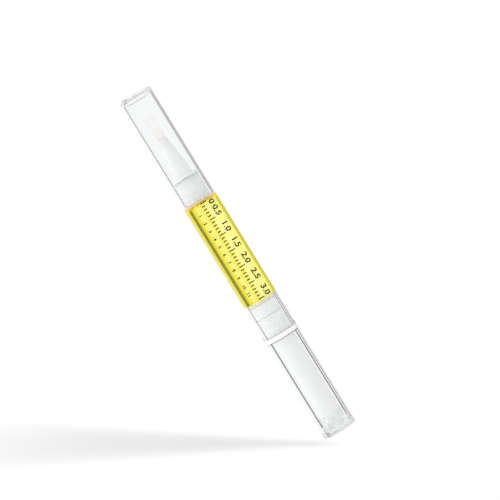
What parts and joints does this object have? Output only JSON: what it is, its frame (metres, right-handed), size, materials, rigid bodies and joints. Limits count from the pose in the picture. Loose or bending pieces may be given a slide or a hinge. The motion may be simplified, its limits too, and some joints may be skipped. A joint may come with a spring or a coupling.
{
  "type": "twist-up nail oil pen",
  "caption": "Slim clear pen that feeds oil to a brush tip: turning the tail knob drives a screw that pushes a piston up the barrel.",
  "frame": {"origin": "centre of the flat tail disc that the pen stands on", "axes": "+Z along the pen's axis towards the cap; the guide sleeve's two locking lugs lie on +X and -X"},
  "size_m": [0.0122, 0.0122, 0.131],
  "materials": {
    "clear_plastic": "crystal-clear moulded plastic, polished",
    "oil": "clear yellow oil",
    "white_gloss": "glossy white moulded plastic",
    "white_satin": "satin white moulded plastic",
    "milky_plastic": "translucent milky plastic",
    "soft_seal": "soft whitish elastomer",
    "click_plastic": "springy light grey plastic",
    "nylon": "fine white nylon bristle",
    "tube_steel": "drawn stainless tube"
  },
  "bodies": {
    "barrel": {"barrel": "clear_plastic", "oil_fill": "oil", "brush_holder": "white_satin", "brush_root": "nylon", "bristles": "nylon", "feed_tube": "tube_steel", "guide_sleeve": "milky_plastic", "thread_nut": "milky_plastic", "mid_ring": "white_gloss"},
    "cap": {"cap": "clear_plastic"},
    "knob": {"knob_sleeve": "clear_plastic", "drive_tube": "white_satin", "click_ring": "click_plastic", "tail_plug": "clear_plastic"},
    "screw": {"screw_rod": "white_satin"},
    "piston": {"piston": "white_satin", "piston_cup": "soft_seal"}
  },
  "joints": [
    {"name": "cap_slide", "type": "slide", "parent": "barrel", "child": "cap", "axis": [0, 0, 1], "range_m": [0, 0.04]},
    {"name": "knob_turn", "type": "hinge", "parent": "barrel", "child": "knob", "pos_m": [0, 0, 0], "axis": [0, 0, 1], "range_deg": [0, 4320], "deforming": ["click_ring"]},
    {"name": "screw_slide", "type": "slide", "parent": "knob", "child": "screw", "axis": [0, 0, 1], "range_m": [0, 0.036]},
    {"name": "piston_slide", "type": "slide", "parent": "barrel", "child": "piston", "axis": [0, 0, 1], "range_m": [0, 0.036], "deforming": ["oil_fill"]}
  ],
  "couplings": [
    {"joint": "screw_slide", "follows": "knob_turn", "m_per_rad": 0.00047746},
    {"joint": "piston_slide", "follows": "knob_turn", "m_per_rad": 0.00047746}
  ]
}
